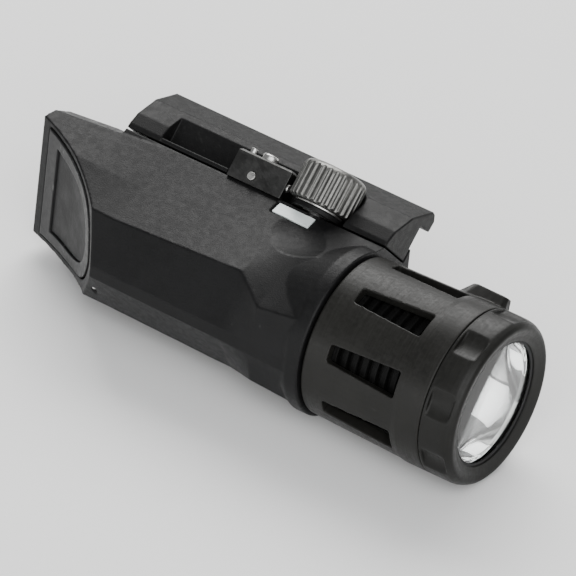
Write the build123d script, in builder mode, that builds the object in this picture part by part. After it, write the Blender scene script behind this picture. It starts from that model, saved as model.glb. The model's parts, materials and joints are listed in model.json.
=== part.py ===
from build123d import *
import math
import os

os.makedirs("parts", exist_ok=True)

# Compact rail-mounted light, millimetres.
# +X runs forward along the beam, +Y points at the accessory rail, +Z is the side with the thumb knob.
# The origin is the middle of the clamp, on the deck that the rail sits on.

# ---------------------------------------------------------------- driving dimensions
H = 17.2                 # barrel axis to rail deck
COLLAR_X = 25.4          # front face of the body collar
COLLAR_R = 14.4
CLAMP_X0, CLAMP_X1 = -25.3, 25.4   # clamp and saddle length

CELL_R, CELL_L = 8.45, 34.5        # single lithium cell, 17 x 34.5 class
CELL_X0 = -11.0                    # negative end of the cell
CELL_X1 = CELL_X0 + CELL_L
SLEEVE_RI, SLEEVE_RO = 8.55, 8.85
BORE_R = 8.9
BORE_X0 = -15.6
NECK_BORE_R, NECK_BORE_X = 11.6, 19.2

TIP = (-16.0, -13.3)     # tip of the tail slope: x, height from the barrel axis
SLOPE = 38.0             # tail slope, degrees
SLOPE_L = 28.0
SLOPE_SAG = 2.0          # hollow of the tail face
ARC_R = ((SLOPE_L / 2) ** 2 + SLOPE_SAG ** 2) / (2 * SLOPE_SAG)

HEAD_X0 = 25.68
SHELL_X1 = 49.0
BEZEL_X0, BEZEL_X1 = 49.08, 55.15
HEAD_R0, HEAD_R1 = 13.75, 14.5
LENS_R = 11.7
APERTURE_R = 10.9

PART_A = 15.0            # parting plane of the jaw, measured along the clamp axis from the barrel axis
JAW_GAP = 0.3
WALL_B = -6.65           # side wall of the saddle, measured across the clamp axis
JAW_WALL_B = -6.4
KNOB_X, KNOB_B = 11.2, 1.0
KNOB_R, KNOB_A0, KNOB_A1 = 5.6, 16.6, 23.4
JAW_TRAVEL = 2.8
PIN_XS = (-22.1, 21.1)
SPRING_XS = (-12.0, 1.2)

R2 = math.sqrt(2.0)
ct, st = math.cos(math.radians(SLOPE)), math.sin(math.radians(SLOPE))


def bar(x):
    """Plane square to the barrel at x, centred on the barrel axis; local x is height, local y is side."""
    return Plane(origin=(x, -H, 0), x_dir=(0, 1, 0), z_dir=(1, 0, 0))


def clamp_plane(a):
    """Plane square to the clamp axis; local x is forward, local y is minus b."""
    return Plane(origin=(0, a / R2 - H, a / R2), x_dir=(1, 0, 0), z_dir=(0, 1, 1))


def ab(a, b):
    """Clamp-axis coordinates to height from the barrel axis and side."""
    return ((a - b) / R2, (a + b) / R2)


def slope_point(s, d, z=0.0):
    """s along the tail slope from its tip, d into the body."""
    return (TIP[0] - ct * s + st * d, TIP[1] - H + st * s + ct * d, z)


def slope_plane(d):
    """Plane along the tail slope at depth d; local x is s, local y is side."""
    return Plane(origin=slope_point(0, d), x_dir=(-ct, st, 0), z_dir=(st, ct, 0))


def turned(profile, mode=Mode.ADD):
    """Revolves an (x, radius) profile about the barrel axis inside the open part."""
    with BuildSketch(Plane.XY) as outline:
        with BuildLine():
            Polyline(*[(x, r - H) for x, r in profile], close=True)
        make_face()
    revolve(outline.sketch, axis=Axis((0, -H, 0), (1, 0, 0)), mode=mode)


def rod(x0, x1, r, mode=Mode.ADD):
    with BuildSketch(bar(x0)) as disc:
        Circle(r)
    extrude(disc.sketch, amount=x1 - x0, mode=mode)


def clamp_rod(a0, a1, r, x, b, mode=Mode.ADD):
    with BuildSketch(clamp_plane(a0)) as disc:
        with Locations((x, -b)):
            Circle(r)
    extrude(disc.sketch, amount=a1 - a0, mode=mode)


def clamp_box(a0, a1, x0, x1, b0, b1, mode=Mode.ADD):
    with BuildSketch(clamp_plane(a0)) as block:
        with Locations(((x0 + x1) / 2, -(b0 + b1) / 2)):
            Rectangle(x1 - x0, b1 - b0)
    extrude(block.sketch, amount=a1 - a0, mode=mode)


def both_sides(half):
    """Closed loop from half a section listed from the keel up."""
    return half + [(y, -z) for y, z in reversed(half)]


def save(part, name):
    part.label = name
    export_step(part, "parts/" + name + ".step")


# ---------------------------------------------------------------- helper solids
arc_mid = slope_point(SLOPE_L / 2, SLOPE_SAG)
slope_end = slope_point(SLOPE_L, 0)
arc_radius = ARC_R


def tail_outline(offset):
    """Everything behind the hollow tail face, moved offset out of the body."""
    p0 = slope_point(0, -offset)
    pm = slope_point(SLOPE_L / 2, SLOPE_SAG - offset)
    p1 = slope_point(SLOPE_L, -offset)
    lead = slope_point(-9.0, -offset - 1.2)
    ThreePointArc(p0[:2], pm[:2], p1[:2])
    Polyline(p1[:2], (p1[0] + 1.1, p1[1] + 4.4), (p1[0] + 1.1, 6.0), (-62, 6.0), (-62, -48), (lead[0], -48), lead[:2], p0[:2])


with BuildPart() as tail_cutter:
    with BuildSketch(Plane.XY.offset(-20)):
        with BuildLine():
            tail_outline(0.0)
        make_face()
    extrude(amount=40)

with BuildPart() as button_cutter:
    with BuildSketch(Plane.XY.offset(-20)):
        with BuildLine():
            tail_outline(0.25)
        make_face()
    extrude(amount=40)

arch = [(2.7, 0.0), (4.6, 3.7), (7.6, 6.7), (12.0, 8.4), (17.0, 9.4), (22.0, 10.0), (25.8, 10.3)]


def arch_loop(grow):
    pts = []
    for s, z in arch:
        pts.append((s - grow * (1.3 if z == 0 else 0.55), z + (grow if z else 0.0)))
    pts[-1] = (arch[-1][0] + grow, arch[-1][1] + grow)
    Spline(*pts)
    Line(pts[-1], (pts[-1][0], -pts[-1][1]))
    Spline(*[(s, -z) for s, z in reversed(pts)])


# Underside of the button and floor of its well, as tilted planes across the slope
floor_dir = Vector(*slope_point(26, 5.9)) - Vector(*slope_point(2, 3.25))
under_dir = Vector(*slope_point(26, 4.2)) - Vector(*slope_point(2, 2.9))
floor_plane = Plane(origin=slope_point(2, 3.25), x_dir=floor_dir, z_dir=Vector(0, 0, 1).cross(floor_dir))
under_plane = Plane(origin=slope_point(2, 2.9), x_dir=under_dir, z_dir=Vector(0, 0, 1).cross(under_dir))

deep = slope_point(14, 30)


def keep_shallow(part, plane):
    """Keeps the part of a solid on the open side of a plane."""
    inside = plane.to_local_coords(Vector(*deep)).Z
    return split(part, bisect_by=plane, keep=Keep.BOTTOM if inside > 0 else Keep.TOP)


with BuildPart() as well_tool:
    with BuildSketch(slope_plane(-4)):
        with BuildLine():
            arch_loop(0.32)
        make_face()
    extrude(amount=16)
    keep_shallow(None, floor_plane)

# ---------------------------------------------------------------- main housing
LEDGE = ab(PART_A, 2.65)
stations = [
    (-38.5, [(-12.8, 1.0), (-8.5, 8.6), (-1.0, 10.9), (6.0, 11.8), (9.5, 9.9)]),
    (-28.0, [(-13.0, 1.0), (-8.8, 8.6), (-1.0, 10.9), (7.0, 12.1), (11.0, 9.9)]),
    (-15.0, [(-13.3, 1.0), (-9.0, 8.5), (-1.0, 10.35), LEDGE, (12.0, 9.0)]),
    (9.5, [(-13.8, 1.0), (-8.5, 9.6), (-1.0, 10.87), LEDGE, (12.0, 9.0)]),
    (15.5, [(-14.0, 1.0), (-12.3, 7.2), (-1.0, 11.9), LEDGE, (12.0, 9.0)]),
    (COLLAR_X, [(-14.36, 1.0), (-11.7, 8.35), (-1.0, 14.3), LEDGE, (12.0, 9.0)]),
]
saddle = [
    (5.0, 10.9), LEDGE, ab(PART_A, WALL_B), (H, H - (-WALL_B * R2) ),
    (H, -8.05), (19.875, -10.725), (22.3, -8.3), (24.0, -9.4), (24.0, -11.5), (17.0, -13.9), (12.0, -13.9), (LEDGE[0], -LEDGE[1]), (5.0, -10.9),
]

facet_n = Vector(0, -(LEDGE[1] - 10.87), LEDGE[0] + 1.0).normalized()   # normal of the side facet
plate_y = 7.05
plate_origin = (8.9, plate_y - H, 10.87 + (plate_y + 1.0) * (LEDGE[1] - 10.87) / (LEDGE[0] + 1.0))
plate_plane = Plane(origin=plate_origin, x_dir=(1, 0, 0), z_dir=facet_n)

with BuildPart() as main_housing:
    for x, half in stations:
        with BuildSketch(bar(x)):
            with BuildLine():
                Polyline(*both_sides(half), close=True)
            make_face()
    loft(ruled=True)
    with BuildSketch(bar(CLAMP_X0)):
        with BuildLine():
            Polyline(*saddle, close=True)
        make_face()
    extrude(amount=CLAMP_X1 - CLAMP_X0)
    turned([(16.5, 0), (16.5, 11.6), (23.0, COLLAR_R), (COLLAR_X - 0.2, COLLAR_R), (COLLAR_X, COLLAR_R - 0.2), (COLLAR_X, 0)])
    add(tail_cutter.part, mode=Mode.SUBTRACT)
    add(well_tool.part, mode=Mode.SUBTRACT)
    # battery bore, neck counterbore, retaining ring groove
    rod(BORE_X0, COLLAR_X + 1, BORE_R, Mode.SUBTRACT)
    rod(NECK_BORE_X, COLLAR_X + 1, NECK_BORE_R, Mode.SUBTRACT)
    rod(21.0, 22.3, 12.3, Mode.SUBTRACT)
    # switch seat and the passage for the button hub
    rod(-17.0, BORE_X0 + 0.1, 5.9, Mode.SUBTRACT)
    rod(-30.5, -16.9, 5.15, Mode.SUBTRACT)
    # tongue slot and pivot pin hole under the tip of the button
    with BuildSketch(slope_plane(0.9)):
        with Locations((2.3, 0)):
            Rectangle(4.2, 4.6)
    extrude(amount=2.1, mode=Mode.SUBTRACT)
    with BuildSketch(Plane.XY.offset(-9.0)):
        with Locations(slope_point(1.65, 1.85)[:2]):
            Circle(0.5)
    extrude(amount=13.1, mode=Mode.SUBTRACT)
    # finger scoop below the thumb knob and the seat of the index plate
    with Locations((11.4, 3.4 - H + facet_n.Y * 15.5, 11.6 + facet_n.Z * 15.5)):
        Sphere(16.0, mode=Mode.SUBTRACT)
    with BuildSketch(plate_plane.offset(-0.5)):
        RectangleRounded(7.7, 2.9, 0.3)
    extrude(amount=3, mode=Mode.SUBTRACT)
    # clamp screw insert and its lead-in, jaw guide pins, jaw springs
    clamp_rod(9.95, 13.35, 1.95, KNOB_X, KNOB_B, Mode.SUBTRACT)
    clamp_rod(13.3, 16.0, 1.6, KNOB_X, KNOB_B, Mode.SUBTRACT)
    clamp_rod(10.4, 16.0, 1.5, PIN_XS[0], -2.5, Mode.SUBTRACT)
    clamp_rod(12.9, 16.0, 1.5, PIN_XS[1], -2.5, Mode.SUBTRACT)
    for x in SPRING_XS:
        clamp_rod(11.1, 16.0, 1.9, x, -3.7, Mode.SUBTRACT)
    # detent block: screw and dowel holes
    clamp_rod(12.2, 16.0, 0.8, -0.6, 0.9, Mode.SUBTRACT)
    clamp_rod(13.2, 16.0, 0.6, -4.0, 0.6, Mode.SUBTRACT)
    # recoil lug slot and its screw holes
    with BuildSketch(Plane.XZ.offset(1.6)):
        with Locations((-12.05, 0)):
            Rectangle(5.0, 9.8)
    extrude(amount=-3, mode=Mode.SUBTRACT)
    with BuildSketch(Plane.XZ.offset(5.6)):
        with Locations((-12.05, 2.6), (-12.05, -2.6)):
            Circle(0.8)
    extrude(amount=-5, mode=Mode.SUBTRACT)
save(main_housing.part, "main_housing")

# ---------------------------------------------------------------- battery and its contacts
with BuildPart() as battery_cell:
    turned([(CELL_X0, 0), (CELL_X0, 7.9), (CELL_X0 + 0.5, CELL_R), (CELL_X1 - 2.0, CELL_R), (CELL_X1 - 1.2, 7.6),
            (CELL_X1 - 1.2, 3.4), (CELL_X1, 3.1), (CELL_X1, 0)])
save(battery_cell.part, "battery_cell")

with BuildPart() as contact_sleeve:
    turned([(-14.2, SLEEVE_RI), (-14.2, SLEEVE_RO), (19.0, SLEEVE_RO), (19.0, SLEEVE_RI)])
save(contact_sleeve.part, "contact_sleeve")

with BuildPart() as tail_contact_spring:
    # flat base coil and a tapering stack of coils that end on the cell
    for x, r in ((-14.05, 6.2), (-13.25, 5.2), (-12.45, 4.2), (-11.6, 3.2)):
        with BuildSketch(Plane.XY):
            with Locations((x, r - H)):
                Circle(0.38)
        revolve(axis=Axis((0, -H, 0), (1, 0, 0)))
save(tail_contact_spring.part, "tail_contact_spring")

# ---------------------------------------------------------------- tail switch
with BuildPart() as switch_carrier:
    turned([(-15.5, 0), (-15.5, 8.8), (-14.5, 8.8), (-14.5, 0)])
    with BuildSketch(bar(-16)):
        with Locations((0, 3.4), (0, -3.4)):
            Circle(0.7)
    extrude(amount=2.0, mode=Mode.SUBTRACT)
save(switch_carrier.part, "switch_carrier")

with BuildPart() as switch_board:
    rod(-16.4, -15.6, 5.7)
    with BuildSketch(bar(-17)):
        with Locations((0, 3.4), (0, -3.4)):
            Circle(0.45)
    extrude(amount=2.0, mode=Mode.SUBTRACT)
save(switch_board.part, "switch_board")

with BuildPart() as tact_switch:
    with BuildSketch(bar(-18.4)):
        RectangleRounded(4.4, 4.4, 0.4)
    extrude(amount=1.9)
    rod(-18.7, -18.3, 1.6)
    rod(-18.8, -17.2, 1.05, Mode.SUBTRACT)
save(tact_switch.part, "tact_switch")

with BuildPart() as switch_plunger:
    rod(-19.2, -18.1, 0.95)
save(switch_plunger.part, "switch_plunger")

with BuildPart() as button_seal:
    # rubber ring that closes the passage round the switch
    turned([(-16.95, 4.75), (-16.95, 5.8), (-16.45, 5.8), (-16.45, 4.75)])
save(button_seal.part, "button_seal")

with BuildPart() as button_return_spring:
    for i in range(5):
        x = -19.75 + i * 0.75
        with BuildSketch(Plane.XY):
            with Locations((x, 3.85 - H)):
                Circle(0.25)
        revolve(axis=Axis((0, -H, 0), (1, 0, 0)))
save(button_return_spring.part, "button_return_spring")

pad_points = [(6.4, 0.0), (7.9, 3.6), (11.8, 6.3), (17.0, 7.5), (23.0, 8.2)]


def pad_loop(shrink):
    pts = [(px + (shrink if pz == 0 else 0), pz - (shrink if pz else 0)) for px, pz in pad_points]
    pts[-1] = (pad_points[-1][0] - shrink, pad_points[-1][1] - shrink)
    Spline(*pts)
    Line(pts[-1], (pts[-1][0], -pts[-1][1]))
    Spline(*[(px, -pz) for px, pz in reversed(pts)])


with BuildPart() as recess_tool:
    with BuildSketch(slope_plane(-3)):
        with BuildLine():
            pad_loop(0.0)
        make_face()
    extrude(amount=12)
    with Locations((st * 0.9, ct * 0.9, 0)):
        add(button_cutter.part, mode=Mode.INTERSECT)

# Tail button: arched wedge with a raised rim, a hollow middle, a hub for the spring and a stem for the switch
with BuildPart() as tail_button:
    with BuildSketch(slope_plane(-4)):
        with BuildLine():
            arch_loop(0.0)
        make_face()
    extrude(amount=16)
    keep_shallow(None, under_plane)
    rod(-30.0, -20.3, 4.3)
    with BuildSketch(slope_plane(1.15)):
        with Locations((2.6, 0)):
            Rectangle(3.8, 4.0)
    extrude(amount=1.5)
    add(button_cutter.part, mode=Mode.SUBTRACT)
    # recess for the soft pad
    add(recess_tool.part, mode=Mode.SUBTRACT)
    rod(-21.5, -19.42, 1.4)
    with BuildSketch(Plane.XY.offset(-5)):
        with Locations(slope_point(1.65, 1.85)[:2]):
            Circle(0.56)
    extrude(amount=10, mode=Mode.SUBTRACT)
save(tail_button.part, "tail_button")

with BuildPart() as button_pad:
    with BuildSketch(slope_plane(-3)):
        with BuildLine():
            pad_loop(0.12)
        make_face()
    extrude(amount=12)
    with Locations((st * 0.88, ct * 0.88, 0)):
        add(button_cutter.part, mode=Mode.INTERSECT)
    with Locations((st * 0.4, ct * 0.4, 0)):
        add(button_cutter.part, mode=Mode.SUBTRACT)
save(button_pad.part, "button_pad")

with BuildPart() as button_pivot_pin:
    with BuildSketch(Plane.XY.offset(-4.6)):
        with Locations(slope_point(1.65, 1.85)[:2]):
            Circle(0.49)
    extrude(amount=8.6)
save(button_pivot_pin.part, "button_pivot_pin")

# ---------------------------------------------------------------- head
with BuildPart() as head_shell:
    turned([(HEAD_X0, 11.25), (HEAD_X0, HEAD_R0 - 0.25), (HEAD_X0 + 0.25, HEAD_R0), (43.6, 14.3), (44.6, HEAD_R1),
            (SHELL_X1 - 0.12, HEAD_R1), (SHELL_X1, HEAD_R1 - 0.12), (SHELL_X1, 12.15), (27.4, 12.15), (27.4, 11.25)])
    # raised grip lug, wedge shaped with a ridge
    with BuildSketch(clamp_plane(12.6)):
        with BuildLine():
            Polyline((38.0, 0.0), (41.0, -3.1), (48.6, -2.4), (49.0, -1.2), (49.0, 1.2), (48.6, 2.4), (41.0, 3.1), close=True)
        make_face()
    with BuildSketch(clamp_plane(16.25)):
        with BuildLine():
            Polyline((41.2, 0.0), (42.6, -1.5), (47.6, -1.3), (48.2, -0.6), (48.2, 0.6), (47.6, 1.3), (42.6, 1.5), close=True)
        make_face()
    loft(ruled=True)
    rod(HEAD_X0, SHELL_X1 + 1, 12.15, Mode.SUBTRACT)
    turned([(HEAD_X0, 11.25), (HEAD_X0, 12.6), (27.4, 12.6), (27.4, 11.25)])
    # eight axial windows over the heat sink
    for k in range(8):
        ang = math.radians(22.5 + 45 * k)
        pl = Plane(origin=(0, -H + math.cos(ang) * 11.9, math.sin(ang) * 11.9), x_dir=(1, 0, 0), z_dir=(0, math.cos(ang), math.sin(ang)))
        with BuildSketch(pl):
            with BuildLine():
                Polyline((29.9, -1.5), (43.3, -2.35), (43.3, 2.35), (29.9, 1.5), close=True)
            make_face()
            fillet(vertices(), 0.4)
        extrude(amount=6, mode=Mode.SUBTRACT)
save(head_shell.part, "head_shell")

fins = []
x = 30.4
while x < 43.0:
    fins += [(x, 10.3), (x + 0.8, 10.3), (x + 0.8, 11.5), (x + 1.9, 11.5)]
    x += 1.9
with BuildPart() as heat_sink:
    turned([(28.5, 9.3), (28.5, 12.05), (29.6, 12.05), (29.6, 11.5), (30.4, 11.5)] + fins[:-1] + [(43.7, 11.5), (43.7, 12.05), (44.4, 12.05), (44.4, 9.6), (35.2, 9.6), (35.2, 0), (33.0, 0), (33.0, 9.3)])
save(heat_sink.part, "heat_sink")

with BuildPart() as neck_ring:
    turned([(19.6, 9.3), (19.6, 11.1), (21.0, 11.1), (21.0, 10.45), (22.4, 10.45), (22.4, 11.1), (23.2, 11.1), (23.2, 10.25),
            (24.6, 10.25), (24.6, 11.1), (27.5, 11.1), (27.5, 12.0), (28.4, 12.0), (28.4, 9.3)])
save(neck_ring.part, "neck_ring")

with BuildPart() as neck_o_ring:
    with BuildSketch(Plane.XY):
        with Locations((23.9, 10.88 - H)):
            Circle(0.62)
    revolve(axis=Axis((0, -H, 0), (1, 0, 0)))
save(neck_o_ring.part, "neck_o_ring")

with BuildPart() as retaining_ring:
    turned([(21.15, 10.6), (21.15, 12.2), (22.2, 12.2), (22.2, 10.6)])
    with BuildSketch(bar(20)):
        with Locations((-11.4, 0)):
            Rectangle(4.0, 3.0)
    extrude(amount=4, mode=Mode.SUBTRACT)
save(retaining_ring.part, "retaining_ring")

with BuildPart() as bezel_ring:
    turned([(44.6, 11.55), (44.6, 12.0), (BEZEL_X0, 12.0), (BEZEL_X0, HEAD_R1 - 0.12), (BEZEL_X0 + 0.12, HEAD_R1), (53.0, HEAD_R1),
            (53.9, 14.38), (54.7, 13.98), (BEZEL_X1, 13.5), (BEZEL_X1, 13.1), (54.42, APERTURE_R + 0.05), (54.2, APERTURE_R),
            (54.2, 11.8), (51.3, 11.8), (51.3, 11.55)])
    for k in range(8):
        ang = math.radians(22.5 + 45 * k)
        with BuildSketch(bar(BEZEL_X0 + 0.6)):
            with Locations((math.cos(ang) * 19.75, math.sin(ang) * 19.75)):
                Circle(6.0)
        extrude(amount=4.3, mode=Mode.SUBTRACT)
save(bezel_ring.part, "bezel_ring")

with BuildPart() as lens:
    turned([(52.55, 0), (52.55, LENS_R), (53.85, LENS_R), (53.85, 0)])
save(lens.part, "lens")

with BuildPart() as lens_gasket:
    turned([(53.87, 10.5), (53.87, 11.75), (54.18, 11.75), (54.18, 10.5)])
save(lens_gasket.part, "lens_gasket")

focal = 1.88
apex_x = 36.4
inner = [(apex_x + r * r / (4 * focal), r) for r in (3.0, 4.0, 5.0, 6.0, 7.0, 8.0, 9.0, 10.0, 10.7)]
outer = [(x + 0.25, r + 0.75) for x, r in inner]
with BuildPart() as reflector:
    with BuildSketch(Plane.XY):
        with BuildLine():
            Spline(*[(x, r - H) for x, r in inner])
            Polyline((inner[-1][0], inner[-1][1] - H), (52.2, 10.7 - H), (52.2, 11.45 - H), (outer[-1][0], outer[-1][1] - H))
            Spline(*[(x, r - H) for x, r in reversed(outer)])
            Line((outer[0][0], outer[0][1] - H), (inner[0][0], inner[0][1] - H))
        make_face()
    revolve(axis=Axis((0, -H, 0), (1, 0, 0)))
save(reflector.part, "reflector")

with BuildPart() as led_board:
    rod(35.25, 36.6, 8.0)
save(led_board.part, "led_board")

with BuildPart() as led_emitter:
    with BuildSketch(bar(36.62)):
        RectangleRounded(3.4, 3.4, 0.2)
    extrude(amount=0.6)
    turned([(37.2, 0), (37.2, 1.4), (37.9, 1.2), (38.4, 0.7), (38.55, 0)])
save(led_emitter.part, "led_emitter")

with BuildPart() as driver_board:
    rod(30.4, 31.6, 9.1)
    with BuildSketch(bar(31.5)):
        with Locations((3.5, 3.5)):
            Rectangle(4.0, 4.0)
        with Locations((-4.0, 2.0)):
            Rectangle(3.0, 2.0)
        with Locations((1.0, -5.0)):
            Rectangle(2.4, 3.4)
    extrude(amount=1.4)
save(driver_board.part, "driver_board")

with BuildPart() as positive_contact:
    turned([(CELL_X1 + 0.12, 0), (CELL_X1 + 0.12, 1.6), (25.2, 2.4), (28.6, 2.4), (28.6, 4.2), (30.35, 4.2), (30.35, 0)])
save(positive_contact.part, "positive_contact")

# ---------------------------------------------------------------- clamp
jaw = [
    ab(PART_A + JAW_GAP, 2.5), (9.7, 13.1), (12.0, 13.9), (17.0, 13.9), (24.0, 11.5), (24.0, 9.5), (22.5, 8.2),
    ab(21.7, JAW_WALL_B), ab(PART_A + JAW_GAP, JAW_WALL_B),
]
with BuildPart() as moving_jaw:
    with BuildSketch(bar(CLAMP_X0)):
        with BuildLine():
            Polyline(*jaw, close=True)
        make_face()
    extrude(amount=CLAMP_X1 - CLAMP_X0)
    chamfer(edges().filter_by(Axis.X).sort_by(lambda e: -(e.center().Y + e.center().Z))[0], 0.6)
    # long window between the end blocks, and the deeper notch that clears the knob
    clamp_box(PART_A - 2, 30, -19.0, 16.8, -1.1, 12, Mode.SUBTRACT)
    clamp_rod(PART_A - 2, 30, KNOB_R + 0.3, KNOB_X, KNOB_B, Mode.SUBTRACT)
    # web and boss that the knob pulls on, and the lower strip of the window
    clamp_box(PART_A + JAW_GAP, 16.2, 6.9, 15.5, JAW_WALL_B, KNOB_B)
    clamp_rod(PART_A + JAW_GAP, 16.2, 4.3, KNOB_X, KNOB_B)
    clamp_box(PART_A + JAW_GAP, 16.1, -19.5, -5.8, -1.3, 2.3)
    clamp_rod(PART_A, 17, 1.6, KNOB_X, KNOB_B, Mode.SUBTRACT)
    clamp_rod(PART_A, 15.75, 2.7, KNOB_X, KNOB_B, Mode.SUBTRACT)
    for x in PIN_XS:
        clamp_rod(PART_A, 20.0, 1.55, x, -2.5, Mode.SUBTRACT)
    for x in SPRING_XS:
        clamp_rod(PART_A, 17.6, 1.9, x, -3.7, Mode.SUBTRACT)
save(moving_jaw.part, "moving_jaw")

with BuildPart() as jaw_guide_pins:
    clamp_rod(10.45, 19.5, 1.49, PIN_XS[0], -2.5)
    clamp_rod(12.95, 19.5, 1.49, PIN_XS[1], -2.5)
save(jaw_guide_pins.part, "jaw_guide_pins")

with BuildPart() as jaw_springs:
    for x in SPRING_XS:
        for i in range(6):
            a = 11.5 + i * 1.14
            with BuildSketch(Plane(origin=(x, ab(a, -3.7)[0] - H, ab(a, -3.7)[1]), x_dir=(1, 0, 0), z_dir=(0, 1, -1))):
                with Locations((1.35, 0)):
                    Circle(0.28)
            revolve(axis=Axis((x, ab(a, -3.7)[0] - H, ab(a, -3.7)[1]), (0, 1, 1)))
save(jaw_springs.part, "jaw_springs")

with BuildPart() as clamp_insert:
    clamp_rod(10.0, 13.3, 1.93, KNOB_X, KNOB_B)
    clamp_rod(9.0, 14.0, 1.5, KNOB_X, KNOB_B, Mode.SUBTRACT)
save(clamp_insert.part, "clamp_insert")

with BuildPart() as clamp_screw:
    clamp_rod(10.05, 20.6, 1.45, KNOB_X, KNOB_B)
    clamp_rod(20.6, 22.9, 2.7, KNOB_X, KNOB_B)
    with BuildSketch(clamp_plane(21.6)):
        with Locations((KNOB_X, -KNOB_B)):
            RegularPolygon(1.25, 6)
    extrude(amount=3, mode=Mode.SUBTRACT)
    with BuildSketch(clamp_plane(15.35)):
        with Locations((KNOB_X, -KNOB_B)):
            Circle(1.8)
            Circle(1.15, mode=Mode.SUBTRACT)
    extrude(amount=0.4, mode=Mode.SUBTRACT)
save(clamp_screw.part, "clamp_screw")

with BuildPart() as screw_clip:
    clamp_rod(15.38, 15.7, 2.45, KNOB_X, KNOB_B)
    clamp_rod(15.0, 16.0, 1.18, KNOB_X, KNOB_B, Mode.SUBTRACT)
    clamp_box(15.0, 16.0, KNOB_X - 0.7, KNOB_X + 0.7, KNOB_B - 4, KNOB_B, Mode.SUBTRACT)
save(screw_clip.part, "screw_clip")

with BuildPart() as jaw_washer:
    clamp_rod(16.21, 16.5, 4.2, KNOB_X, KNOB_B)
    clamp_rod(16.0, 17.0, 1.6, KNOB_X, KNOB_B, Mode.SUBTRACT)
save(jaw_washer.part, "jaw_washer")

with BuildPart() as thumb_knob:
    clamp_rod(KNOB_A0, KNOB_A1, KNOB_R, KNOB_X, KNOB_B)
    far = faces().sort_by(Axis((0, 0, 0), (0, 1, 1)))
    fillet(far[-1].edges(), 1.5)
    near = faces().sort_by(Axis((0, 0, 0), (0, 1, 1)))
    chamfer(near[0].edges(), 0.35)
    with BuildSketch(clamp_plane(KNOB_A0 - 1)):
        with Locations((KNOB_X, -KNOB_B)):
            with PolarLocations(KNOB_R + 0.12, 28):
                Circle(0.42)
    extrude(amount=KNOB_A1 - KNOB_A0 + 2, mode=Mode.SUBTRACT)
    clamp_rod(KNOB_A0 - 1, KNOB_A1, 1.46, KNOB_X, KNOB_B, Mode.SUBTRACT)
    clamp_rod(20.6, KNOB_A1 + 1, 2.75, KNOB_X, KNOB_B, Mode.SUBTRACT)
save(thumb_knob.part, "thumb_knob")

# ---------------------------------------------------------------- detent beside the knob, index plate, recoil lug
with BuildPart() as detent_block:
    clamp_box(PART_A + 0.02, 20.0, -5.3, 5.1, -0.75, 3.3)
    top = faces().sort_by(Axis((0, 0, 0), (0, 1, 1)))[-1]
    chamfer(top.edges(), 0.35)
    clamp_rod(19.55, 21.0, 1.45, -0.6, 0.9, Mode.SUBTRACT)
    clamp_rod(14.0, 21.0, 0.8, -0.6, 0.9, Mode.SUBTRACT)
    clamp_rod(14.0, 21.0, 0.6, -4.0, 0.6, Mode.SUBTRACT)
    with BuildSketch(Plane(origin=(5.2, ab(17.2, 2.0)[0] - H, ab(17.2, 2.0)[1]), x_dir=(0, 1, 1), z_dir=(-1, 0, 0))):
        Circle(0.75)
    extrude(amount=1.45, mode=Mode.SUBTRACT)
    with BuildSketch(Plane(origin=(-1.0, ab(16.4, 3.3)[0] - H, ab(16.4, 3.3)[1]), x_dir=(1, 0, 0), z_dir=(0, 1, -1))):
        Circle(0.7)
    extrude(amount=1.4, mode=Mode.SUBTRACT)
save(detent_block.part, "detent_block")

with BuildPart() as detent_screw:
    clamp_rod(12.3, 19.6, 0.78, -0.6, 0.9)
    clamp_rod(19.57, 21.1, 1.4, -0.6, 0.9)
    fillet(faces().sort_by(Axis((0, 0, 0), (0, 1, 1)))[-1].edges(), 0.45)
    with BuildSketch(clamp_plane(20.3)):
        with Locations((-0.6, -0.9)):
            RegularPolygon(0.7, 6)
    extrude(amount=2, mode=Mode.SUBTRACT)
save(detent_screw.part, "detent_screw")

with BuildPart() as detent_dowels:
    clamp_rod(13.3, 21.0, 0.58, -4.0, 0.6)
    with BuildSketch(Plane(origin=(-1.0, ab(16.4, 3.75)[0] - H, ab(16.4, 3.75)[1]), x_dir=(1, 0, 0), z_dir=(0, 1, -1))):
        Circle(0.68)
    extrude(amount=1.75)
save(detent_dowels.part, "detent_dowels")

with BuildPart() as detent_plunger:
    with BuildSketch(Plane(origin=(5.45, ab(17.2, 2.0)[0] - H, ab(17.2, 2.0)[1]), x_dir=(0, 1, 1), z_dir=(-1, 0, 0))):
        Circle(0.72)
    extrude(amount=1.6)
    fillet(faces().sort_by(Axis.X)[-1].edges(), 0.3)
save(detent_plunger.part, "detent_plunger")

with BuildPart() as index_plate:
    with BuildSketch(plate_plane.offset(-0.48)):
        RectangleRounded(7.0, 2.3, 0.15)
    extrude(amount=0.34)
save(index_plate.part, "index_plate")

with BuildPart() as recoil_lug:
    with BuildSketch(Plane.XZ.offset(1.55)):
        with Locations((-12.05, 0)):
            Rectangle(4.9, 9.6)
    extrude(amount=-(1.55 + 2.6))
    chamfer(faces().sort_by(Axis.Y)[-1].edges(), 0.4)
    with BuildSketch(Plane.XZ.offset(2)):
        with Locations((-12.05, 2.6), (-12.05, -2.6)):
            Circle(1.0)
    extrude(amount=-6, mode=Mode.SUBTRACT)
    with BuildSketch(Plane.XZ.offset(-1.2)):
        with Locations((-12.05, 2.6), (-12.05, -2.6)):
            Circle(1.8)
    extrude(amount=-3, mode=Mode.SUBTRACT)
save(recoil_lug.part, "recoil_lug")

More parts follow.
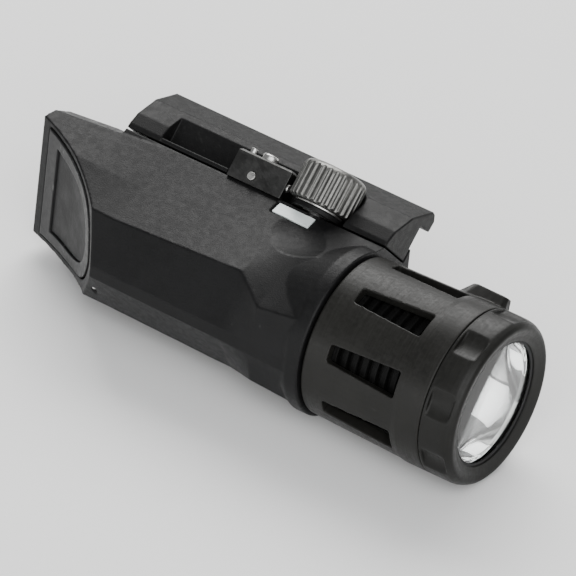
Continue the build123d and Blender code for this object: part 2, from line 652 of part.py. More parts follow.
with BuildPart() as recoil_lug_screws:
    for z in (2.6, -2.6):
        with BuildSketch(Plane.XZ.offset(5.4)):
            with Locations((-12.05, z)):
                Circle(0.79)
        extrude(amount=-6.6)
        with BuildSketch(Plane.XZ.offset(-1.22)):
            with Locations((-12.05, z)):
                Circle(1.7)
        extrude(amount=-1.2)
        with BuildSketch(Plane.XZ.offset(-1.7)):
            with Locations((-12.05, z)):
                RegularPolygon(0.75, 6)
        extrude(amount=-2, mode=Mode.SUBTRACT)
save(recoil_lug_screws.part, "recoil_lug_screws")
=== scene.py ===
import json
import math

import bmesh
import bpy
import numpy as np
from mathutils import Matrix, Vector

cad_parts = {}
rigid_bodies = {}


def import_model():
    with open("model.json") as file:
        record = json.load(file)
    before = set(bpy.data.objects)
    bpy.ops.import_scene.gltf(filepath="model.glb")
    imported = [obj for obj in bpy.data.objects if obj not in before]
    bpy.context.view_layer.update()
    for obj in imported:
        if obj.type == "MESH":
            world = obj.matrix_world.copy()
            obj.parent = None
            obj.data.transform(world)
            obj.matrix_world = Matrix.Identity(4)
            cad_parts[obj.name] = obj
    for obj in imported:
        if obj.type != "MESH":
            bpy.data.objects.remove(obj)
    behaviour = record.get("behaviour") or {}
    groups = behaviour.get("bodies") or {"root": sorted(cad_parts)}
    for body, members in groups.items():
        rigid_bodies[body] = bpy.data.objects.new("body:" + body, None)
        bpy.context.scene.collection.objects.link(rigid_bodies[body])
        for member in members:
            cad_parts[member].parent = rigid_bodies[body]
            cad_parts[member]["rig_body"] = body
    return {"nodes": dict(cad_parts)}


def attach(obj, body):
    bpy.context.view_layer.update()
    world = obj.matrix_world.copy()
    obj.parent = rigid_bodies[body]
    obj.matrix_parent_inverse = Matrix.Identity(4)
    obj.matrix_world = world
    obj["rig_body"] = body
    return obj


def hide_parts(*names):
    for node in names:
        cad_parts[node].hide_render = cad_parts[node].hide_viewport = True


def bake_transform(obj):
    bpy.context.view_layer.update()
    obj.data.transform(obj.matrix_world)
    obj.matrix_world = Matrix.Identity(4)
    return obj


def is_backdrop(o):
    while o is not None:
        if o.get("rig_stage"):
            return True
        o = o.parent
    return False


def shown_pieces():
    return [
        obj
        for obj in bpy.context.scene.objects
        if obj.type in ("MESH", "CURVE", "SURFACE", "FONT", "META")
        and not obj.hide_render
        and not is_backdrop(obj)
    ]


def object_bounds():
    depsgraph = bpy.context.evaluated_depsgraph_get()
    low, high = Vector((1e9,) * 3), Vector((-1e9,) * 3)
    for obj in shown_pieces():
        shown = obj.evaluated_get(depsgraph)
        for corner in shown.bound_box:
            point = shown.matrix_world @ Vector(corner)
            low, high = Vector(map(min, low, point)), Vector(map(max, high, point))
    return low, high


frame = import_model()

CAD_LO, CAD_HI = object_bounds()
NODES = frame["nodes"]
MM = 0.001
H = 0.0172                      # barrel axis below the rail deck
SQ = math.sqrt(0.5)
CLAMP = Vector((0.0, SQ, SQ))   # clamp axis
ACROSS = Vector((0.0, -SQ, SQ))  # across the clamp axis
AXIS_O = Vector((0.0, -H, 0.0))


# ================================================================= node helper
class Net:
    """A material under construction. Textures run in object coordinates, in metres."""

    def __init__(self, name):
        self.m = bpy.data.materials.new(name)
        self.m.use_nodes = True
        self.t = self.m.node_tree
        self.t.nodes.clear()
        self.out = self.t.nodes.new("ShaderNodeOutputMaterial")
        self.p = self.t.nodes.new("ShaderNodeBsdfPrincipled")
        self.t.links.new(self.p.outputs["BSDF"], self.out.inputs["Surface"])
        self.co = self.t.nodes.new("ShaderNodeTexCoord").outputs["Object"]

    def node(self, kind, **props):
        n = self.t.nodes.new(kind)
        for k, v in props.items():
            setattr(n, k, v)
        return n

    def put(self, socket, value):
        if isinstance(value, bpy.types.NodeSocket):
            self.t.links.new(value, socket)
        else:
            socket.default_value = value

    def vector(self, scale=(1, 1, 1), rotation=(0, 0, 0)):
        n = self.node("ShaderNodeMapping")
        self.put(n.inputs["Vector"], self.co)
        n.inputs["Rotation"].default_value = rotation
        n.inputs["Scale"].default_value = scale
        return n.outputs["Vector"]

    def noise(self, scale, detail=2.0, rough=0.5, vec=None, distortion=0.0):
        n = self.node("ShaderNodeTexNoise")
        self.put(n.inputs["Vector"], vec or self.co)
        n.inputs["Scale"].default_value = scale
        n.inputs["Detail"].default_value = detail
        n.inputs["Roughness"].default_value = rough
        n.inputs["Distortion"].default_value = distortion
        return n.outputs["Fac"]

    def cells(self, scale, feature="F1", vec=None, smooth=0.4):
        n = self.node("ShaderNodeTexVoronoi", feature=feature)
        self.put(n.inputs["Vector"], vec or self.co)
        n.inputs["Scale"].default_value = scale
        if feature == "SMOOTH_F1":
            n.inputs["Smoothness"].default_value = smooth
        return n.outputs["Distance"]

    def wave(self, scale, axis="X", distortion=0.0, vec=None, kind="BANDS", detail=2.0):
        n = self.node("ShaderNodeTexWave", wave_type=kind)
        if kind == "BANDS":
            n.bands_direction = axis
        else:
            n.rings_direction = axis
        self.put(n.inputs["Vector"], vec or self.co)
        n.inputs["Scale"].default_value = scale
        n.inputs["Distortion"].default_value = distortion
        n.inputs["Detail"].default_value = detail
        return n.outputs["Fac"]

    def span(self, value, lo, hi, to_lo=0.0, to_hi=1.0):
        n = self.node("ShaderNodeMapRange", interpolation_type="SMOOTHSTEP")
        self.put(n.inputs["Value"], value)
        n.inputs["From Min"].default_value = lo
        n.inputs["From Max"].default_value = hi
        n.inputs["To Min"].default_value = to_lo
        n.inputs["To Max"].default_value = to_hi
        return n.outputs["Result"]

    def math(self, op, a, b=0.0, clamp=False):
        n = self.node("ShaderNodeMath", operation=op)
        n.use_clamp = clamp
        self.put(n.inputs[0], a)
        self.put(n.inputs[1], b)
        return n.outputs[0]

    def mix(self, fac, a, b):
        n = self.node("ShaderNodeMix", data_type="RGBA")
        self.put(n.inputs["Factor"], fac)
        for s, v in ((n.inputs["A"], a), (n.inputs["B"], b)):
            pass
        ins = [i for i in n.inputs if i.type == "RGBA"]
        for s, v in zip(ins, (a, b)):
            self.put(s, v if isinstance(v, bpy.types.NodeSocket) else rgba(v))
        return [o for o in n.outputs if o.type == "RGBA"][0]

    def pointiness(self, lo, hi):
        g = self.node("ShaderNodeNewGeometry")
        return self.span(g.outputs["Pointiness"], lo, hi)

    def recess(self, distance, lo=0.35, hi=0.9):
        n = self.node("ShaderNodeAmbientOcclusion")
        n.samples = 6
        n.inputs["Distance"].default_value = distance
        return self.span(n.outputs["AO"], hi, lo)

    def bumps(self, *layers):
        """layers of (height, distance in metres, strength); the result drives the shader's normal."""
        normal = None
        for height, distance, strength in layers:
            n = self.node("ShaderNodeBump")
            n.inputs["Strength"].default_value = strength
            n.inputs["Distance"].default_value = distance
            self.put(n.inputs["Height"], height)
            if normal is not None:
                self.put(n.inputs["Normal"], normal)
            normal = n.outputs["Normal"]
        self.put(self.p.inputs["Normal"], normal)
        return normal

    def set(self, **values):
        for k, v in values.items():
            self.put(self.p.inputs[k.replace("_", " ")], v)


def rgba(c):
    c = tuple(c)
    return c if len(c) == 4 else c + (1.0,)


def tint(c, f):
    return tuple(min(1.0, x * f) for x in c)


# ================================================================= materials
def polymer(name, base, worn_and_highlight, rough=0.5, wear_and_highlight=0.6, grain=1.0, edge=(0.58, 0.69), spec=0.45):
    """Moulded fibre-filled polymer: spark-eroded skin, faint flow mottling, satin edges lightened by abrasion and as
    painted highlight, hairline scuffs, dust in corners.
    """
    n = Net(name)
    patch = n.noise(130, 3, 0.55)
    flow = n.noise(900, 4, 0.6, distortion=0.6)
    fibre = n.noise(1.0, 3, 0.6, vec=n.vector((900, 5200, 5200)))
    grit = n.noise(7600, 2, 0.55)
    pits = n.cells(5200, "SMOOTH_F1")
    col = n.mix(n.span(patch, 0.32, 0.68), tint(base, 0.86), tint(base, 1.16))
    col = n.mix(n.span(flow, 0.4, 0.75, 0.0, 0.5), col, tint(base, 1.38))
    col = n.mix(n.span(fibre, 0.56, 0.74, 0.0, 0.4), col, tint(base, 1.7))
    col = n.mix(n.span(pits, 0.02, 0.3, 0.32, 0.0), col, tint(base, 0.6))
    # Convex edges are lightened toward the second colour: partly abrasion from use, partly a painted edge highlight.
    point = n.pointiness(*edge)
    rub_and_highlight = n.math("MULTIPLY", point, n.span(n.noise(420, 4, 0.65), 0.3, 0.62, 0.25, 1.0))
    hair_a = n.span(n.noise(1.0, 2, 0.5, vec=n.vector((180, 9000, 9000), (0.3, 0.2, 0.5))), 0.70, 0.745)
    hair_b = n.span(n.noise(1.0, 2, 0.5, vec=n.vector((9000, 240, 5200), (0.6, -0.4, 0.9))), 0.71, 0.75)
    hairs = n.math("MULTIPLY", n.math("MAXIMUM", hair_a, hair_b), n.span(patch, 0.42, 0.6))
    col = n.mix(n.math("MULTIPLY", rub_and_highlight, wear_and_highlight), col, worn_and_highlight)
    col = n.mix(n.math("MULTIPLY", hairs, 0.035), col, tint(worn_and_highlight, 0.9))
    dust = n.math("MULTIPLY", n.recess(0.0016), n.span(n.noise(2600, 3, 0.7), 0.45, 0.75))
    col = n.mix(n.math("MULTIPLY", dust, 0.02), col, (0.2, 0.19, 0.17))
    r = n.math("ADD", n.span(flow, 0.3, 0.7, rough - 0.05, rough + 0.07), n.span(grit, 0.3, 0.7, -0.03, 0.03))
    r = n.math("SUBTRACT", r, n.math("MULTIPLY", rub_and_highlight, 0.03))
    r = n.math("SUBTRACT", r, n.math("MULTIPLY", hairs, 0.08))
    r = n.math("ADD", r, n.math("MULTIPLY", dust, 0.2), clamp=True)
    n.set(Base_Color=col, Roughness=r, Metallic=0.0, IOR=1.52, Specular_IOR_Level=spec)
    n.bumps((n.noise(210, 2), 0.00016 * grain, 0.12), (pits, 0.00005 * grain, 0.34), (grit, 0.00003 * grain, 0.42),
            (fibre, 0.00002 * grain, 0.2), (hairs, 0.00002, -0.08))
    return n.m


def anodised(name, base, worn_and_highlight, rough=0.4, wear_and_highlight=0.5, lines=5200.0, metal=0.55, edge=(0.585, 0.70), ring=True, spec=0.5):
    """Hard-coated metal: fine tool lines round the barrel axis, mottled coat, edges lightened as metal rubbed through
    and as painted highlight.
    """
    n = Net(name)
    patch = n.noise(160, 3, 0.6)
    coat = n.noise(1500, 4, 0.6)
    fine = n.noise(9000, 2, 0.5)
    turn = n.noise(1.0, 2, 0.5, vec=n.vector((lines, 60, 60) if ring else (60, lines, lines)))
    col = n.mix(n.span(patch, 0.3, 0.7), tint(base, 0.85), tint(base, 1.16))
    col = n.mix(n.span(coat, 0.4, 0.75, 0.0, 0.5), col, tint(base, 1.35))
    col = n.mix(n.span(turn, 0.5, 0.72, 0.0, 0.4), col, tint(base, 1.55))
    # Convex edges are lightened toward the second colour: partly metal showing through, partly a painted edge
    # highlight.
    point = n.pointiness(*edge)
    rub_and_highlight = n.math("MULTIPLY", point, n.span(n.noise(520, 4, 0.7), 0.34, 0.6, 0.2, 1.0))
    nick = n.math("MULTIPLY", n.span(n.noise(1900, 3, 0.6), 0.66, 0.71), n.span(patch, 0.5, 0.62))
    hairs = n.span(n.noise(1.0, 2, 0.5, vec=n.vector((260, 8200, 8200), (0.4, 0.5, 0.3))), 0.70, 0.74)
    col = n.mix(n.math("MULTIPLY", rub_and_highlight, wear_and_highlight), col, worn_and_highlight)
    col = n.mix(n.math("MULTIPLY", nick, 0.05), col, tint(worn_and_highlight, 0.8))
    col = n.mix(n.math("MULTIPLY", hairs, 0.04), col, tint(worn_and_highlight, 0.75))
    dust = n.math("MULTIPLY", n.recess(0.0014), n.span(n.noise(2600, 3, 0.7), 0.42, 0.72))
    col = n.mix(n.math("MULTIPLY", dust, 0.03), col, (0.17, 0.16, 0.14))
    r = n.math("ADD", n.span(coat, 0.3, 0.7, rough - 0.06, rough + 0.07), n.span(turn, 0.3, 0.7, -0.05, 0.05))
    r = n.math("SUBTRACT", r, n.math("MULTIPLY", rub_and_highlight, 0.02))
    r = n.math("ADD", r, n.math("MULTIPLY", dust, 0.25), clamp=True)
    n.set(Base_Color=col, Roughness=r, Metallic=metal, IOR=1.5, Specular_IOR_Level=spec)
    n.bumps((patch, 0.00012, 0.08), (turn, 0.00003, 0.22), (coat, 0.00003, 0.2), (fine, 0.000016, 0.3), (hairs, 0.000015, -0.25))
    return n.m


def steel(name, base=(0.46, 0.455, 0.44), dark=(0.12, 0.115, 0.11), rough=0.34, grain=1.0, metal=1.0, hollow_dirt_and_shade=0.5, lines=(900, 900, 7000)):
    """Bare or blasted metal: directional tool grain, dirt and painted shade in hollows, ridges brightened as painted
    highlight.
    """
    n = Net(name)
    patch = n.noise(420, 4, 0.6)
    fine = n.noise(12000, 2, 0.6)
    brush = n.noise(1.0, 3, 0.6, vec=n.vector(lines, (0.2, 0.1, 0.3)))
    spots = n.span(n.noise(3600, 3, 0.6), 0.62, 0.7)
    col = n.mix(n.span(patch, 0.3, 0.7), tint(base, 0.84), tint(base, 1.12))
    col = n.mix(n.span(brush, 0.45, 0.72, 0.0, 0.45), col, tint(base, 0.7))
    col = n.mix(n.math("MULTIPLY", spots, 0.3), col, dark)
    hollow = n.recess(0.0009, 0.3, 0.95)
    # Hollows are darkened toward the dark colour: partly dirt, partly painted shade.
    col = n.mix(n.math("MULTIPLY", hollow, hollow_dirt_and_shade), col, dark)
    # Convex ridges are painted brighter: a painted highlight.
    col = n.mix(n.math("MULTIPLY", n.pointiness(0.51, 0.58), 0.5), col, tint(base, 1.35))
    r = n.math("ADD", n.span(patch, 0.3, 0.7, rough - 0.06, rough + 0.09), n.math("MULTIPLY", hollow, 0.22))
    r = n.math("ADD", r, n.span(brush, 0.3, 0.7, -0.04, 0.05), clamp=True)
    n.set(Base_Color=col, Roughness=r, Metallic=metal)
    n.bumps((brush, 0.00003 * grain, 0.3), (fine, 0.00002 * grain, 0.3), (spots, 0.00003, -0.2))
    return n.m


def rubber(name, base=(0.012, 0.012, 0.0125), rough=0.72, stipple=2600.0):
    """Soft elastomer: talc bloom, stippled skin, no metal shine."""
    n = Net(name)
    patch = n.noise(300, 4, 0.6)
    dots = n.cells(stipple, "SMOOTH_F1")
    fine = n.noise(11000, 2, 0.6)
    bloom = n.math("MULTIPLY", n.span(n.noise(1700, 4, 0.7), 0.5, 0.8), n.span(patch, 0.35, 0.7))
    col = n.mix(n.span(patch, 0.3, 0.7), tint(base, 0.8), tint(base, 1.25))
    col = n.mix(n.span(dots, 0.05, 0.4, 0.25, 0.0), col, tint(base, 1.7))
    col = n.mix(n.math("MULTIPLY", bloom, 0.18), col, (0.14, 0.14, 0.135))
    col = n.mix(n.math("MULTIPLY", n.pointiness(0.515, 0.6), 0.35), col, tint(base, 3.2))
    r = n.math("ADD", n.span(patch, 0.3, 0.7, rough - 0.06, rough + 0.06), n.math("MULTIPLY", bloom, 0.12), clamp=True)
    n.set(Base_Color=col, Roughness=r, Metallic=0.0, IOR=1.5, Specular_IOR_Level=0.35)
    n.bumps((dots, 0.00005, 0.3), (fine, 0.00002, 0.4))
    return n.m


def plated(name, base, rough=0.28):
    """Plated contact metal with handling marks and a slight tarnish."""
    n = Net(name)
    patch = n.noise(500, 4, 0.65)
    tarnish = n.span(n.noise(1500, 4, 0.6), 0.5, 0.75)
    brush = n.noise(1.0, 2, 0.5, vec=n.vector((7000, 500, 500)))
    col = n.mix(n.span(patch, 0.3, 0.7), tint(base, 0.82), tint(base, 1.1))
    col = n.mix(n.math("MULTIPLY", tarnish, 0.35), col, tint(base, 0.45))
    r = n.math("ADD", n.span(patch, 0.3, 0.7, rough - 0.05, rough + 0.1), n.math("MULTIPLY", tarnish, 0.15), clamp=True)
    n.set(Base_Color=col, Roughness=r, Metallic=1.0)
    n.bumps((brush, 0.00002, 0.25), (patch, 0.00003, 0.15))
    return n.m


def solder_mask(name, base=(0.012, 0.09, 0.035)):
    """Circuit board: glossy mask over tracks, woven glass showing faintly."""
    n = Net(name)
    weave_a = n.wave(1400, "Y")
    weave_b = n.wave(1400, "Z")
    tracks = n.span(n.cells(900, "F1"), 0.40, 0.44)
    patch = n.noise(600, 3)
    col = n.mix(tracks, tint(base, 1.5), base)
    col = n.mix(n.span(n.math("MULTIPLY", weave_a, weave_b), 0.3, 0.8, 0.0, 0.25), col, tint(base, 1.8))
    col = n.mix(n.span(patch, 0.4, 0.7, 0.0, 0.3), col, tint(base, 0.7))
    n.set(Base_Color=col, Roughness=n.span(patch, 0.3, 0.7, 0.22, 0.36), Metallic=0.0, IOR=1.5)
    n.bumps((tracks, 0.00004, -0.4), (weave_a, 0.00001, 0.15), (weave_b, 0.00001, 0.15))
    return n.m


def white_insert(name):
    """White enamelled insert plate: painted shade in its recessed edges, fine scuffs, semi-gloss."""
    n = Net(name)
    base = (0.74, 0.80, 0.79)
    patch = n.noise(700, 4, 0.6)
    fine = n.noise(9000, 2, 0.5)
    scuff = n.span(n.noise(1.0, 2, 0.5, vec=n.vector((400, 7000, 7000), (0.1, 0.3, 0.4))), 0.64, 0.70)
    col = n.mix(n.span(patch, 0.3, 0.7), tint(base, 0.93), tint(base, 1.04))
    col = n.mix(n.math("MULTIPLY", scuff, 0.22), col, (0.42, 0.43, 0.42))
    # Recessed edges are darkened toward grey: painted shade.
    col = n.mix(n.math("MULTIPLY", n.recess(0.0006, 0.3, 0.95), 0.55), col, (0.22, 0.24, 0.235))
    n.set(Base_Color=col, Roughness=n.span(patch, 0.3, 0.7, 0.3, 0.42), Metallic=0.0, IOR=1.5)
    n.bumps((fine, 0.00001, 0.2), (patch, 0.00003, 0.12), (scuff, 0.00001, -0.3))
    return n.m


def mirror_coat(name):
    """Vacuum-metallised reflector: very smooth, with a faint orange peel and a few dust specks."""
    n = Net(name)
    peel = n.noise(1300, 2, 0.5)
    patch = n.noise(300, 3, 0.6)
    specks = n.span(n.noise(6200, 2, 0.5), 0.72, 0.76)
    col = n.mix(n.span(patch, 0.3, 0.7), (0.88, 0.885, 0.88), (0.95, 0.955, 0.95))
    col = n.mix(n.math("MULTIPLY", specks, 0.4), col, (0.5, 0.5, 0.49))
    n.set(Base_Color=col, Roughness=n.math("ADD", n.span(patch, 0.3, 0.7, 0.045, 0.08), n.math("MULTIPLY", specks, 0.3)), Metallic=1.0)
    n.bumps((peel, 0.00004, 0.10))
    return n.m


def clear_lens(name):
    """Clear polymer window with a hard coat: faint wipe marks and specks."""
    n = Net(name)
    wipe = n.noise(1.0, 3, 0.6, vec=n.vector((300, 500, 4200), (0.7, 0.0, 0.0)))
    specks = n.span(n.noise(5200, 2, 0.5), 0.74, 0.78)
    r = n.math("ADD", n.span(wipe, 0.45, 0.75, 0.008, 0.035), n.math("MULTIPLY", specks, 0.3), clamp=True)
    col = n.mix(n.span(wipe, 0.5, 0.8, 0.0, 0.5), (0.985, 0.992, 0.99), (0.95, 0.965, 0.96))
    n.set(Base_Color=col, Roughness=r, Metallic=0.0, IOR=1.49, Transmission_Weight=1.0)
    n.bumps((wipe, 0.000006, 0.12))
    return n.m


def phosphor(name):
    n = Net(name)
    base = (0.86, 0.70, 0.16)
    patch = n.noise(3200, 3, 0.6)
    grit = n.noise(16000, 2, 0.6)
    col = n.mix(n.span(patch, 0.3, 0.7), tint(base, 0.86), (0.92, 0.80, 0.30))
    n.set(Base_Color=col, Roughness=n.span(grit, 0.3, 0.7, 0.5, 0.68), Metallic=0.0)
    n.bumps((grit, 0.00002, 0.4))
    return n.m


def silicone(name):
    n = Net(name)
    ripple = n.noise(2600, 2, 0.5)
    n.set(Base_Color=(0.985, 0.985, 0.97, 1.0), Roughness=n.span(ripple, 0.3, 0.7, 0.02, 0.06), Metallic=0.0, IOR=1.43, Transmission_Weight=1.0)
    n.bumps((ripple, 0.00001, 0.1))
    return n.m


def ceramic(name):
    n = Net(name)
    base = (0.72, 0.72, 0.69)
    patch = n.noise(2600, 3, 0.6)
    col = n.mix(n.span(patch, 0.3, 0.7), tint(base, 0.9), tint(base, 1.05))
    n.set(Base_Color=col, Roughness=n.span(patch, 0.3, 0.7, 0.45, 0.6), Metallic=0.0)
    n.bumps((n.noise(14000, 2), 0.00001, 0.3))
    return n.m


def cell_wrap(name):
    """Shrink-wrapped cell: plain two-tone film, bare metal ends."""
    n = Net(name)
    sep = n.node("ShaderNodeSeparateXYZ")
    n.put(sep.inputs[0], n.co)
    x = sep.outputs["X"]
    film = n.math("MULTIPLY", n.span(x, -0.01085, -0.0108), n.span(x, 0.0222, 0.02215), clamp=True)
    band = n.math("MULTIPLY", n.span(x, 0.0095, 0.0096), n.span(x, 0.0186, 0.0185), clamp=True)
    crease = n.noise(1.0, 3, 0.6, vec=n.vector((300, 2600, 2600)))
    patch = n.noise(500, 3)
    col = n.mix(n.span(patch, 0.3, 0.7), (0.05, 0.055, 0.06), (0.075, 0.08, 0.086))
    col = n.mix(band, col, (0.50, 0.26, 0.04))
    col = n.mix(film, (0.62, 0.61, 0.6), col)
    n.set(Base_Color=col, Roughness=n.span(crease, 0.3, 0.7, 0.22, 0.42), Metallic=n.span(film, 0.4, 0.6, 1.0, 0.0), IOR=1.5)
    n.bumps((crease, 0.00006, 0.2), (patch, 0.00004, 0.15))
    return n.m


def backdrop_paper(name):
    n = Net(name)
    soft = n.noise(3, 2, 0.5)
    tooth = n.noise(900, 3, 0.6)
    col = n.mix(n.span(soft, 0.3, 0.7), (0.86, 0.86, 0.855), (0.88, 0.88, 0.876))
    n.set(Base_Color=col, Roughness=n.span(tooth, 0.3, 0.7, 0.62, 0.75), Metallic=0.0, Specular_IOR_Level=0.3)
    n.bumps((tooth, 0.00006, 0.12))
    return n.m


M = {
    # In the polymer and coat entries the second colour and the fifth number set the edge lightening, which is partly
    # abrasion and partly painted edge highlight; the hollow darkening amount of the metal entries is partly dirt and
    # partly painted shade.
    "housing": polymer("housing_polymer", (0.0056, 0.0056, 0.0058), (0.085, 0.085, 0.083), 0.42, 0.16, spec=0.125),
    "jaw": polymer("jaw_polymer", (0.0055, 0.0055, 0.0056), (0.06, 0.06, 0.058), 0.43, 0.12, spec=0.12),
    "button": polymer("button_polymer", (0.0100, 0.0100, 0.0103), (0.17, 0.17, 0.167), 0.42, 0.4, 0.8, edge=(0.54, 0.62), spec=0.24),
    "pad": rubber("soft_pad_rubber", (0.0048, 0.0048, 0.005), 0.6, 1900.0),
    "head": anodised("head_coat", (0.0092, 0.0090, 0.0080), (0.11, 0.108, 0.098), 0.42, 0.1, metal=0.0, spec=0.18),
    "bezel": anodised("bezel_coat", (0.0075, 0.0074, 0.0066), (0.085, 0.083, 0.077), 0.42, 0.14, metal=0.0, spec=0.17),
    "fins": anodised("fin_coat", (0.0028, 0.0028, 0.0027), (0.008, 0.008, 0.0078), 0.6, 0.2, metal=0.0, spec=0.1),
    "knob": steel("knob_metal", (0.165, 0.164, 0.157), (0.014, 0.0135, 0.013), 0.38, hollow_dirt_and_shade=0.9),
    "block": steel("block_metal", (0.050, 0.050, 0.049), (0.015, 0.015, 0.0145), 0.42, hollow_dirt_and_shade=0.5),
    "steel": steel("bright_steel", (0.56, 0.555, 0.54), (0.12, 0.118, 0.11), 0.26, hollow_dirt_and_shade=0.6),
    "dark_steel": steel("dark_steel", (0.13, 0.13, 0.13), (0.035, 0.035, 0.034), 0.38, hollow_dirt_and_shade=0.6),
    "lug": steel("lug_metal", (0.24, 0.24, 0.235), (0.06, 0.06, 0.058), 0.4, hollow_dirt_and_shade=0.5),
    "plate": white_insert("white_plate"),
    "rubber": rubber("black_rubber"),
    "mirror": mirror_coat("mirror_coat"),
    "lens": clear_lens("clear_lens"),
    "phosphor": phosphor("led_phosphor"),
    "silicone": silicone("led_silicone"),
    "ceramic": ceramic("led_ceramic"),
    "board_metal": steel("board_metal", (0.5, 0.5, 0.49), (0.2, 0.2, 0.19), 0.4, hollow_dirt_and_shade=0.3),
    "pcb": solder_mask("circuit_board"),
    "brass": plated("brass_contact", (0.72, 0.52, 0.24)),
    "gold": plated("gold_pad", (0.86, 0.66, 0.30), 0.22),
    "cell": cell_wrap("cell_wrap"),
    "carrier": polymer("carrier_plastic", (0.10, 0.10, 0.10), (0.2, 0.2, 0.2), 0.45, 0.3, 0.6),
    "plunger": polymer("plunger_plastic", (0.36, 0.05, 0.03), (0.5, 0.12, 0.08), 0.4, 0.3, 0.5),
    "chip": polymer("chip_body", (0.022, 0.022, 0.023), (0.08, 0.08, 0.08), 0.5, 0.3, 0.4),
}


# ================================================================= mesh helpers
def welded(node):
    bm = bmesh.new()
    bm.from_mesh(NODES[node].data)
    bmesh.ops.remove_doubles(bm, verts=bm.verts, dist=2e-6)
    me = bpy.data.meshes.new("weld")
    bm.to_mesh(me)
    bm.free()
    return me


def applied(ob):
    dg = bpy.context.evaluated_depsgraph_get()
    me = bpy.data.meshes.new_from_object(ob.evaluated_get(dg))
    old = ob.data
    bpy.data.objects.remove(ob)
    if old.users == 0:
        bpy.data.meshes.remove(old)
    return me


def temp(me, name="temp"):
    ob = bpy.data.objects.new(name, me)
    bpy.context.scene.collection.objects.link(ob)
    return ob


def points(me):
    co = np.empty(len(me.vertices) * 3, np.float32)
    me.vertices.foreach_get("co", co)
    return co.reshape(-1, 3).astype(np.float64)


def relax(me, rounds, keep_size=True, weight=None):
    """Evens out the surface along its own edges; with keep_size it alternates in and out so that the volume stays."""
    co = points(me)
    e = np.empty(len(me.edges) * 2, np.int32)
    me.edges.foreach_get("vertices", e)
    e = e.reshape(-1, 2)
    n = len(co)
    deg = np.bincount(e.ravel(), minlength=n).astype(float)
    deg[deg == 0] = 1
    w = np.ones(n) if weight is None else weight(co)
    for i in range(rounds):
        for lam in ((0.55, -0.57) if keep_size else (0.5,)):
            new = np.empty_like(co)
            for k in range(3):
                s = np.bincount(e[:, 0], co[e[:, 1], k], n) + np.bincount(e[:, 1], co[e[:, 0], k], n)
                new[:, k] = s / deg
            co += (new - co) * (lam * w)[:, None]
    me.vertices.foreach_set("co", co.astype(np.float32).ravel())
    me.update()


def remesh(me, voxel):
    ob = temp(me)
    m = ob.modifiers.new("r", "REMESH")
    m.mode = "VOXEL"
    m.voxel_size = voxel
    m.use_smooth_shade = True
    return applied(ob)


def thin_out(me, faces):
    """Collapses edges until at most that many triangles are left."""
    tris = sum(len(p.vertices) - 2 for p in me.polygons)
    if tris <= faces:
        return me
    ob = temp(me)
    m = ob.modifiers.new("d", "DECIMATE")
    m.decimate_type = "COLLAPSE"
    m.ratio = faces / tris
    return applied(ob)


def smooth_shaded(me, angle=None):
    me.polygons.foreach_set("use_smooth", [True] * len(me.polygons))
    if angle is not None:
        me.set_sharp_from_angle(angle=math.radians(angle))
    me.update()


def place(name, me, mat, body, nodes=()):
    me.name = name
    ob = bpy.data.objects.new(name, me)
    bpy.context.scene.collection.objects.link(ob)
    me.materials.clear()
    for m in mat if isinstance(mat, (list, tuple)) else [mat]:
        me.materials.append(m)
    if body:
        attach(ob, body)
    for nd in nodes:
        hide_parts(nd)
    return ob


def body_of(node):
    return NODES[node]["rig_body"]


def refined(node, mat, voxel, rounds=2, faces=60000, soften=0, name=None, weight=None, quick_voxel=None):
    """The CAD shape with moulded or machined edge radii: dense even mesh, edges eased over about one voxel."""
    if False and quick_voxel:
        voxel = quick_voxel
    me = remesh(welded(node), voxel * MM)
    relax(me, rounds, True)
    if soften:
        relax(me, soften, False, weight)
    me = thin_out(me, faces)
    smooth_shaded(me)
    return place(name or node + "_v", me, M[mat], body_of(node), (node,))


def lathe(profile, segments=96, closed=True, axis_x=True):
    """Revolves (x, r) points in millimetres about the barrel axis. Points with r = 0 close on the axis."""
    verts, faces, rings = [], [], []
    for x, r in profile:
        if r <= 1e-6:
            rings.append([len(verts)])
            verts.append((x * MM, -H, 0.0))
        else:
            ring = []
            for i in range(segments):
                a = 2 * math.pi * i / segments
                ring.append(len(verts))
                verts.append((x * MM, -H + math.cos(a) * r * MM, math.sin(a) * r * MM))
            rings.append(ring)
    pairs = list(zip(rings, rings[1:]))
    if closed:
        pairs.append((rings[-1], rings[0]))
    for a, b in pairs:
        if len(a) == 1 and len(b) == 1:
            continue
        for i in range(segments):
            j = (i + 1) % segments
            if len(a) == 1:
                faces.append((a[0], b[j], b[i]))
            elif len(b) == 1:
                faces.append((a[i], a[j], b[0]))
            else:
                faces.append((a[i], a[j], b[j], b[i]))
    me = bpy.data.meshes.new("lathe")
    me.from_pydata(verts, [], faces)
    bm = bmesh.new()
    bm.from_mesh(me)
    bmesh.ops.recalc_face_normals(bm, faces=bm.faces)
    bm.to_mesh(me)
    bm.free()
    return me


def rounded(profile, r, steps=4):
    """Rounds each corner of a closed (x, r) profile by radius r, in millimetres; per-point radii as a third value."""
    out = []
    n = len(profile)
    for i, p in enumerate(profile):
        rad = p[2] if len(p) > 2 else r
        a, b, c = (Vector(profile[(i - 1) % n][:2]), Vector(p[:2]), Vector(profile[(i + 1) % n][:2]))
        u, v = (a - b), (c - b)
        if rad <= 0 or p[1] <= 1e-6 or u.length < 1e-9 or v.length < 1e-9:
            out.append(tuple(b))
            continue
        ang = u.angle(v)
        if ang > math.pi - 0.05 or ang < 0.05:
            out.append(tuple(b))
            continue
        cut = min(rad / math.tan(ang / 2), u.length * 0.45, v.length * 0.45)
        rr = cut * math.tan(ang / 2)
        bis = (u.normalized() + v.normalized()).normalized()
        cen = b + bis * (rr / math.sin(ang / 2))
        s, e = b + u.normalized() * cut, b + v.normalized() * cut
        a0 = math.atan2(s.y - cen.y, s.x - cen.x)
        a1 = math.atan2(e.y - cen.y, e.x - cen.x)
        da = (a1 - a0 + math.pi) % (2 * math.pi) - math.pi
        for k in range(steps + 1):
            t = a0 + da * k / steps
            out.append((cen.x + math.cos(t) * rr, cen.y + math.sin(t) * rr))
    return out


